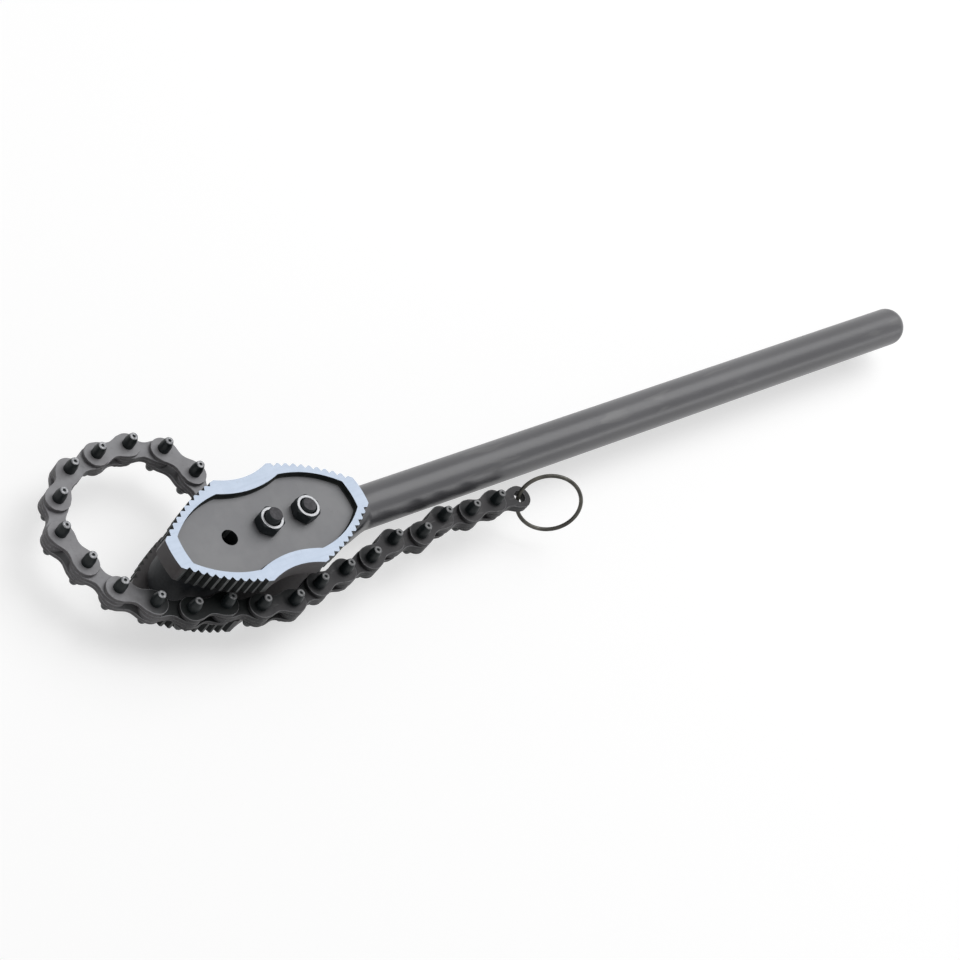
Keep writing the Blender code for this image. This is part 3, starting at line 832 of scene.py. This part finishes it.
def make_recess_fillets():
    """Cast fillet round the foot of each jaw's recess, painted black as the shade line at the
    recess's foot.
    """
    recess_floor = JAW_THICKNESS / 2 - RECESS_DEPTH
    buried = FILLET_RADIUS * FILLET_BURIED_SHARE
    corners = [(-buried, FILLET_RADIUS), (-buried, -buried), (FILLET_RADIUS, -buried)]
    for step in range(FILLET_STEPS + 1):
        turn = math.pi / 2 * step / FILLET_STEPS
        corners.append((FILLET_RADIUS * (1 - math.sin(turn)), FILLET_RADIUS * (1 - math.cos(turn))))
    sections = []
    for inward, up in corners:
        outline = jaw_outline(RIM_WIDTH + inward, False)
        sections.append([(x, y, recess_floor + up) for x, y in outline])
    fillet = smoothed(lofted("recess_fillet", sections, closed=True), FORGED_HARD_DEG)
    # The fillet is painted black as the shade line at the foot of the recess
    finished(fillet, BLACK_OXIDE_AND_SHADE)
    for side, place in jaw_places().items():
        show(f"{side}_recess_fillet", fillet, place, "wrench", "painted_grey")


def inside(outline, point):
    """Whether a point lies inside a closed outline."""
    found = False
    for (ax, ay), (bx, by) in zip(outline, outline[1:] + outline[:1]):
        if (ay > point.y) != (by > point.y):
            if point.x < ax + (bx - ax) * (point.y - ay) / (by - ay):
                found = not found
    return found


def handle_section(x, half_width, half_height, squareness):
    """Corners of one handle section at x, from round to nearly square."""
    power = 2.0 / squareness
    corners = []
    for i in range(HANDLE_SIDES):
        turn = 2 * math.pi * (i + 0.5) / HANDLE_SIDES
        c, s = math.cos(turn), math.sin(turn)
        y = half_width * math.copysign(abs(c) ** power, c)
        z = half_height * math.copysign(abs(s) ** power, s)
        corners.append((x, y, z))
    return corners


def handle_stations():
    """Place, half width, half height and squareness of each section along the handle."""
    wide, tall, bar = TONGUE_WIDTH / 2, TONGUE_THICKNESS / 2, HANDLE_DIAMETER / 2
    end_centre = wide - TONGUE_REACH
    stations = []
    for turn_deg in reversed(END_TURNS_DEG):
        turn = math.radians(turn_deg)
        x = end_centre - wide * math.sin(turn)
        stations.append((x, wide * math.cos(turn), tall, TONGUE_SQUARENESS))
    for step in range(FLARE_STEPS + 1):
        share = step / FLARE_STEPS
        ease = share * share * (3 - 2 * share)
        squareness = TONGUE_SQUARENESS + (ROUND_SQUARENESS - TONGUE_SQUARENESS) * ease
        x = FLARE_START + FLARE_LENGTH * share
        stations.append((x, wide + (bar - wide) * ease, tall + (bar - tall) * ease, squareness))
    for turn_deg in END_TURNS_DEG:
        turn = math.radians(turn_deg)
        radius = bar * math.cos(turn)
        x = HANDLE_REACH - bar + DOME_DEPTH * math.sin(turn)
        stations.append((x, radius, radius, ROUND_SQUARENESS))
    return stations


def make_handle():
    """Forged handle, lofted through its sections and bored for the bolts."""
    handle = lofted("handle", [handle_section(*station) for station in handle_stations()])
    reach, hole_radius = TONGUE_THICKNESS / 2 + CUT_OVERRUN, BOLT_HOLE_DIAMETER / 2
    profile = [(0.0, reach), (hole_radius, reach), (hole_radius, -reach), (0.0, -reach)]
    holes = []
    for x in HOLE_PLACES:
        hole = turned("handle_hole", profile, HOLE_SIDES)
        hole.transform(lifted(0.0, x))
        holes.append(hole)
    handle = smoothed(combined("handle", handle, holes, "DIFFERENCE"), FORGED_HARD_DEG)

    def region(middle, normal):
        return int(middle.x < FLARE_START)

    # The tongue between the jaws takes a finish painted near black as shade
    finished(handle, handle_paint(), shaded_tongue(), pick=region)
    show("handle_look", handle, lifted(MID_HEIGHT), "wrench", "painted_grey", "forged_handle")


def rounded_hexagon(corner):
    """Hexagon outline of a corner radius, with each corner rolled over."""
    outline = []
    reach = corner - HEX_CORNER_RADIUS / math.cos(math.pi / 6)
    for turn_deg in range(HEX_TURN_DEG, 360, 60):
        turn = math.radians(turn_deg)
        centre = (reach * math.cos(turn), reach * math.sin(turn))
        for lean_deg in HEX_ROLL_TURNS_DEG:
            lean = turn + math.radians(lean_deg)
            outline.append((
                centre[0] + HEX_CORNER_RADIUS * math.cos(lean),
                centre[1] + HEX_CORNER_RADIUS * math.sin(lean),
            ))
    return outline


def hexagon(name, bottom, top, both_ends):
    """Six sided head or nut blank, with round chamfers on its outer face or on both."""
    corner = HEX_ACROSS_FLATS / 2 / math.cos(math.pi / 6)
    blank = flat_mesh(name, [rounded_hexagon(corner)], top - bottom)
    blank.transform(lifted((top + bottom) / 2))
    flat = HEX_ACROSS_FLATS / 2
    far = corner + CUT_OVERRUN
    face = flat - HEX_CHAMFER / 2
    slope = HEX_CHAMFER + CUT_OVERRUN / 2 + HEX_CHAMFER / 2
    profile = [(0.0, top), (face, top), (far, top - slope)]
    if both_ends:
        profile += [(far, bottom + slope), (face, bottom), (0.0, bottom)]
    else:
        profile += [(far, bottom - CUT_OVERRUN), (0.0, bottom - CUT_OVERRUN)]
    return combined(name, blank, [turned(name, profile, CHAMFER_SIDES)], "INTERSECT")


def threaded_bar(name, bottom, top, thread_start):
    """Round bar along Z, smooth below thread_start and threaded from there to its tapered tip."""
    steps = int((top - thread_start) / THREAD_PITCH * THREAD_STEPS_A_TURN)
    heights = [thread_start + (top - thread_start) * i / steps for i in range(1, steps + 1)]
    sections = []
    for z in [bottom, thread_start] + heights:
        points = []
        for i in range(THREAD_SIDES):
            turn = 2 * math.pi * i / THREAD_SIDES
            depth = 0.0
            if z > thread_start:
                phase = ((z - thread_start) / THREAD_PITCH - i / THREAD_SIDES) % 1.0
                depth = THREAD_DEPTH * abs(2 * phase - 1)
                depth = max(depth, min(THREAD_DEPTH, THREAD_DEPTH - (top - z)))
            radius = BOLT_DIAMETER / 2 - depth
            points.append((radius * math.cos(turn), radius * math.sin(turn), z))
        sections.append(points)
    return lofted(name, sections)


def hex_nut():
    """Hex nut, countersunk at its bright top."""
    mouth = BOLT_BORE_RADIUS + NUT_COUNTERSINK
    cone = [
        (0.0, NUT_TOP + CUT_OVERRUN),
        (mouth + CUT_OVERRUN, NUT_TOP + CUT_OVERRUN),
        (BOLT_BORE_RADIUS, NUT_TOP - NUT_COUNTERSINK),
        (BOLT_BORE_RADIUS, NUT_SEAT - CUT_OVERRUN),
        (0.0, NUT_SEAT - CUT_OVERRUN),
    ]
    blank = hexagon("nut", NUT_SEAT, NUT_TOP, True)
    nut = combined("nut", blank, [turned("nut_bore", cone, HOLE_SIDES)], "DIFFERENCE")

    def region(middle, normal):
        return int(normal.z > LEANING_SHARES["nut"] and middle.z > NUT_TOP - HEX_EDGE)

    return finished(eased(nut, HEX_EDGE, HEX_HARD_DEG), DARK_FASTENER, bright_face(), pick=region)


def hex_bolt(where):
    """Hex bolt with its head below, a threaded end and a grey tip."""
    tip = NUT_TOP + BOLT_OVERHANGS[where]
    shank = threaded_bar("shank", -NUT_SEAT - FIT_GAP, tip, NUT_SEAT)
    head = hexagon("bolt", NUT_SEAT, NUT_SEAT + BOLT_HEAD_HEIGHT, False)
    head.transform(Matrix.Rotation(math.pi, 4, "X"))
    bolt = smoothed(combined(f"{where}_bolt", head, [shank], "UNION"), HEX_HARD_DEG)

    def region(middle, normal):
        return int(normal.z > LEANING_SHARES["bolt"] and middle.z > NUT_TOP)

    return finished(bolt, DARK_FASTENER, SAWN_END, pick=region)


def make_fasteners():
    """The bolts and nuts that clamp the jaws."""
    nut = hex_nut()
    for where, x in BOLT_PLACES.items():
        place, bolt = lifted(MID_HEIGHT, x), hex_bolt(where)
        show(f"{where}_bolt_look", bolt, place, "wrench", "dark_steel", f"{where}_bolt")
        turn = Matrix.Rotation(math.radians(NUT_TURNS_DEG[where]), 4, "Z")
        show(f"{where}_nut_look", nut, place @ turn, "wrench", "dark_steel", f"{where}_nut")


def make_spacers():
    """Rings on the bolts that keep the jaws off the tongue."""
    outer, inner = JAW_GAP / 2 - FIT_GAP, TONGUE_THICKNESS / 2 + FIT_GAP
    outlines = [circle(SPACER_DIAMETER / 2, SPACER_SIDES), circle(BOLT_BORE_RADIUS, HOLE_SIDES)]
    spacer = flat_mesh("spacer", outlines, outer - inner)
    spacer = finished(eased(spacer, HEX_EDGE), DARK_FASTENER)
    for where, x in BOLT_PLACES.items():
        for side, way in SIDES:
            place = lifted(MID_HEIGHT + way * (outer + inner) / 2, x)
            name = f"{where}_spacer_{side}"
            show(f"{name}_look", spacer, place, "wrench", "dark_steel", name)


def strap_outline():
    """Outline of a shackle plate, a large eye at the origin and a small one along X."""
    lean = math.acos((SHACKLE_EYE_RADIUS - SHACKLE_TAIL_RADIUS) / SHACKLE_LENGTH)
    outline = []
    for i in range(-STRAP_STEPS, STRAP_STEPS + 1):
        turn = lean * i / STRAP_STEPS
        x = SHACKLE_LENGTH + SHACKLE_TAIL_RADIUS * math.cos(turn)
        outline.append((x, SHACKLE_TAIL_RADIUS * math.sin(turn)))
    for i in range(2 * STRAP_STEPS + 1):
        turn = lean + (2 * math.pi - 2 * lean) * i / (2 * STRAP_STEPS)
        outline.append((SHACKLE_EYE_RADIUS * math.cos(turn), SHACKLE_EYE_RADIUS * math.sin(turn)))
    return outline


def hinge_places():
    """Each joint's frame at rest: on its hinge, with X along the piece that it carries."""
    places = {}
    joints = {joint["child"]: joint for joint in frame["joints"]}
    order = ["shackle"] + [f"link_{number:02d}" for number in range(LINK_COUNT)] + ["ring"]
    for body, following in zip(order, order[1:]):
        here = Vector(joints[body]["pos_m"])
        ahead = Vector(joints[following]["pos_m"]) - here
        turn = Matrix.Rotation(math.atan2(ahead.y, ahead.x), 4, "Z")
        places[body] = Matrix.Translation(here) @ turn
    axis = Vector(joints["ring"]["axis"])
    tilt = Matrix.Rotation(-math.atan2(axis.y, axis.z), 4, "X")
    places["ring"] = Matrix.Translation(Vector(joints["ring"]["pos_m"])) @ tilt
    return places


def make_shackle():
    """Straps, collars and anchor pin that tie the chain to the centre bolt."""
    place = PLACES["shackle"]
    eye = circle(SPACER_DIAMETER / 2 + PIN_CLEARANCE, SPACER_SIDES)
    tail = circle(PIN_BORE_RADIUS, PIN_SIDES, (SHACKLE_LENGTH, 0.0))
    strap = flat_mesh("strap", [strap_outline(), eye, tail], SHACKLE_PLATE_THICKNESS)
    strap = finished(eased(strap, PLATE_EDGE), DARK_FASTENER)
    outer = JAW_GAP / 2 - SHACKLE_CLEARANCE
    inner = outer - SHACKLE_PLATE_THICKNESS
    foot, top = INNER_STACK + FIT_GAP, inner - FIT_GAP
    outlines = [circle(COLLAR_DIAMETER / 2, HOLE_SIDES), circle(PIN_BORE_RADIUS, PIN_SIDES)]
    collar = finished(eased(flat_mesh("collar", outlines, top - foot), HEX_EDGE), DARK_FASTENER)
    for side, way in SIDES:
        level = place @ lifted(way * (inner + outer) / 2)
        node = f"shackle_plate_{side}"
        show(f"shackle_strap_{side}", strap, level, "shackle", "dark_steel", node)
        level = place @ lifted(way * (foot + top) / 2, SHACKLE_LENGTH)
        show(f"collar_{side}", collar, level, "shackle", "dark_steel", f"anchor_collar_{side}")
    pin = riveted_pin("anchor", 2 * outer)
    level = place @ lifted(0.0, SHACKLE_LENGTH)
    show("anchor_pin_look", pin, level, "shackle", "chain_steel", "anchor_pin")


def riveted_pin(name, length):
    """Chain pin that tapers to peened, dimpled ends."""
    half, radius = length / 2, PIN_DIAMETER / 2
    dimple, tip = PIN_DIMPLE_DIAMETER / 2, PIN_TIP_DIAMETER / 2
    rolled = PIN_TIP_EDGE * PIN_ROLLED_EDGE_SHARE
    end = [
        (0.0, half - PIN_DIMPLE_DEPTH),
        (dimple * PIN_DIMPLE_FLOOR_SHARE, half - PIN_DIMPLE_DEPTH),
        (dimple, half - PIN_TIP_EDGE / 2),
        (dimple * PIN_DIMPLE_LIP_SHARE, half),
        (tip - PIN_TIP_EDGE, half),
        (tip - rolled, half - rolled),
        (tip, half - PIN_TIP_EDGE),
        ((tip + radius) / 2, half - PIN_TAPER * PIN_TAPER_KNEE_SHARE),
        (radius, half - PIN_TAPER),
    ]
    profile = end + [(x, -z) for x, z in reversed(end)]
    pin = smoothed(turned(name, profile, PIN_SIDES), PIN_HARD_DEG)

    def region(middle, normal):
        on_cap = abs(middle.z) > half - PIN_TIP_EDGE * PIN_CAP_SHARE
        return int(on_cap and middle.to_2d().length > dimple * PIN_CAP_SHARE)

    return finished(pin, PIN_SHANK, PIN_CAP, pick=region)


def link_outline():
    """Waisted outline of a chain plate, from its hinge at the origin to one pitch along X."""
    far = []
    for i in range(-LINK_END_STEPS, LINK_END_STEPS + 1):
        turn = math.radians(LINK_END_TURN_DEG) * i / LINK_END_STEPS
        x = CHAIN_PITCH + LINK_END_RADIUS * math.cos(turn)
        far.append((x, LINK_END_RADIUS * math.sin(turn)))
    start = Vector(far[-1])
    length = 2 * start.x - CHAIN_PITCH
    waist = []
    for i in range(1, LINK_WAIST_STEPS):
        share = i / LINK_WAIST_STEPS
        dip = (start.y - LINK_WAIST_WIDTH / 2) * (1 - math.cos(2 * math.pi * share)) / 2
        waist.append((start.x - length * share, start.y - dip))
    near = [(CHAIN_PITCH - x, -y) for x, y in far]
    return far + waist + near + [(CHAIN_PITCH - x, -y) for x, y in waist]


def plate_region(middle, normal):
    """Which finish a plate's face has, as rolled face, rubbed rim or sheared side."""
    face, rim, side = range(3)
    lean = abs(normal.z)
    if lean > SQUARE_SHARE:
        return face
    return rim if lean > LEANING_SHARES["plate"] else side


def make_chain():
    """Riveted outer links and paired inner plates, each on its own body."""
    finishes = chain_face(), plate_rim(), plate_side()
    bores = [circle(PIN_BORE_RADIUS, PIN_SIDES, (x, 0.0)) for x in (0.0, CHAIN_PITCH)]
    shapes = {"inner": [link_outline()] + bores, "outer": [link_outline()]}
    plates = {}
    for kind, outlines in shapes.items():
        mesh = eased(flat_mesh(f"{kind}_plate", outlines, LINK_PLATE_THICKNESS), PLATE_EDGE)
        plates[kind] = finished(mesh, *finishes, pick=plate_region)
    pin = riveted_pin("pin", PIN_LENGTH)
    inner_level = (FIT_GAP + LINK_PLATE_THICKNESS) / 2
    outer_level = (INNER_STACK + OUTER_STACK + FIT_GAP) / 2
    for number in range(LINK_COUNT):
        body = f"link_{number:02d}"
        riveted = number % 2 == 1
        kind, level = ("outer", outer_level) if riveted else ("inner", inner_level)
        for side, way in SIDES:
            node = f"outer_link_{number:02d}" if riveted else f"inner_plate_{number:02d}_{side}"
            place = PLACES[body] @ lifted(way * level)
            show(f"{body}_plate_{side}", plates[kind], place, body, "chain_steel", node)
        if riveted:
            for end, along in (("near", 0.0), ("far", CHAIN_PITCH)):
                place = PLACES[body] @ lifted(0.0, along)
                show(f"{body}_pin_{end}", pin, place, body, "chain_steel")


def make_ring():
    """Wire ring through the last link's end hole."""
    radius = (RING_DIAMETER - RING_WIRE_DIAMETER) / 2
    bpy.ops.mesh.primitive_torus_add(
        major_radius=radius,
        minor_radius=RING_WIRE_DIAMETER / 2,
        major_segments=RING_SIDES,
        minor_segments=WIRE_SIDES,
    )
    blank = bpy.context.active_object
    mesh = blank.data
    bpy.data.objects.remove(blank)
    mesh.transform(lifted(0.0, radius) @ Matrix.Rotation(math.pi / 2, 4, "X"))
    finished(smoothed(mesh, RING_HARD_DEG), ring_wire_finish())
    swing = Matrix.Rotation(math.radians(RING_SWING_DEG), 4, "Z")
    show("ring_look", mesh, PLACES["ring"] @ swing, "ring", "ring_wire", "end_ring")


def make_floor():
    """Plain pale floor that keeps the wrench's shadow."""
    place = (STUDIO_MIDDLE, 0.0, -FLOOR_DROP)
    bpy.ops.mesh.primitive_plane_add(size=FLOOR_SIZE, location=place)
    floor = bpy.context.active_object
    floor.name = "floor"
    finish = Finish("pale floor", 0.0, 0.9, 0.1)
    finish.feed(finish.shader.inputs["Base Color"], finish.colour(grey(FLOOR_LEVEL)))
    glow = finish.node("Emission", None, {"Color": WHITE, "Strength": FLOOR_LIFT})
    dark = finish.node("Emission", None, {"Strength": 0.0})
    lift = finish.node("MixShader", None, {0: finish.seen(), 1: dark, 2: glow})
    lit = Value(finish, finish.shader.outputs[0])
    both = finish.node("AddShader", None, {0: lit, 1: lift})
    finish.feed(finish.tree.nodes["Material Output"].inputs["Surface"], both)
    floor.data.materials.append(finish.material)


def soft_light(name, shape, place, aim, width, height, radiance):
    """Soft light of a given shape and radiance, turned to its aim."""
    lamp = bpy.data.lights.new(name, "AREA")
    lamp.shape = shape
    lamp.size = width
    lamp.size_y = height
    area = width * height * (math.pi / 4 if shape == "ELLIPSE" else 1.0)
    lamp.energy = radiance * math.pi * area
    holder = bpy.data.objects.new(name, lamp)
    bpy.context.scene.collection.objects.link(holder)
    holder.location = place
    holder.rotation_euler = (Vector(place) - Vector(aim)).to_track_quat("Z", "Y").to_euler()


def make_lights():
    """Soft studio light, mostly from above and behind, and an even pale surround."""
    middle = Vector((STUDIO_MIDDLE, 0.0, MID_HEIGHT))
    for name, shape, way, width, height, radiance in LIGHTS:
        place = middle + Vector(way).normalized() * LIGHT_DISTANCE
        soft_light(name, shape, place, middle, width, height, radiance)
    world = bpy.data.worlds.new("surround")
    bpy.context.scene.world = world
    world.use_nodes = True
    surround = Shading(world.node_tree)
    levels = {"Value": surround.seen(), "To Min": SURROUND_LEVEL, "To Max": 1.0}
    back = surround.tree.nodes["Background"]
    surround.feed(back.inputs["Color"], WHITE)
    surround.feed(back.inputs["Strength"], surround.node("MapRange", None, levels))


def make_camera():
    """The photograph's camera."""
    lens = bpy.data.cameras.new("camera")
    lens.sensor_width = SENSOR_WIDTH
    lens.lens = FOCAL_PIXELS * SENSOR_WIDTH / PHOTO_WIDTH
    lens.clip_start = CAMERA_NEAREST
    lens.clip_end = CAMERA_FARTHEST
    camera = bpy.data.objects.new("camera", lens)
    bpy.context.scene.collection.objects.link(camera)
    right, up, back = Vector(CAMERA_RIGHT), -Vector(CAMERA_DOWN), -Vector(CAMERA_FORWARD)
    turn = Matrix((right, up, back)).transposed().to_4x4()
    camera.matrix_world = Matrix.Translation(CAMERA_PLACE) @ turn
    bpy.context.scene.camera = camera


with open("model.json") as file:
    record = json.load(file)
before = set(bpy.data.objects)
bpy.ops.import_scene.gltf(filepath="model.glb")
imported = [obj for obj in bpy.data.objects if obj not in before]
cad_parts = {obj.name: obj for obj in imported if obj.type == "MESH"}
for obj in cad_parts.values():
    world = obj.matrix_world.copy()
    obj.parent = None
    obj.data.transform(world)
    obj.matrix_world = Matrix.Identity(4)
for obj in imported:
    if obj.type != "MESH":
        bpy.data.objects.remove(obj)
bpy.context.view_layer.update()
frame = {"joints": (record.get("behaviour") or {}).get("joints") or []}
JAW_PAINT = jaw_paint()
CAST_PANEL = cast_panel()
MILLED_RIM = milled_rim()
BLACK_OXIDE_AND_SHADE = black_oxide_and_shade()
DARK_FASTENER = dark_fastener()
SAWN_END = sawn_end()
PIN_SHANK = pin_shank()
PIN_CAP = pin_cap()
PLACES = hinge_places()
make_camera()
make_lights()
make_floor()
make_handle()
make_jaws()
make_recess_fillets()
make_fasteners()
make_spacers()
make_shackle()
make_chain()
make_ring()
bpy.context.scene.view_settings.view_transform = "Standard"
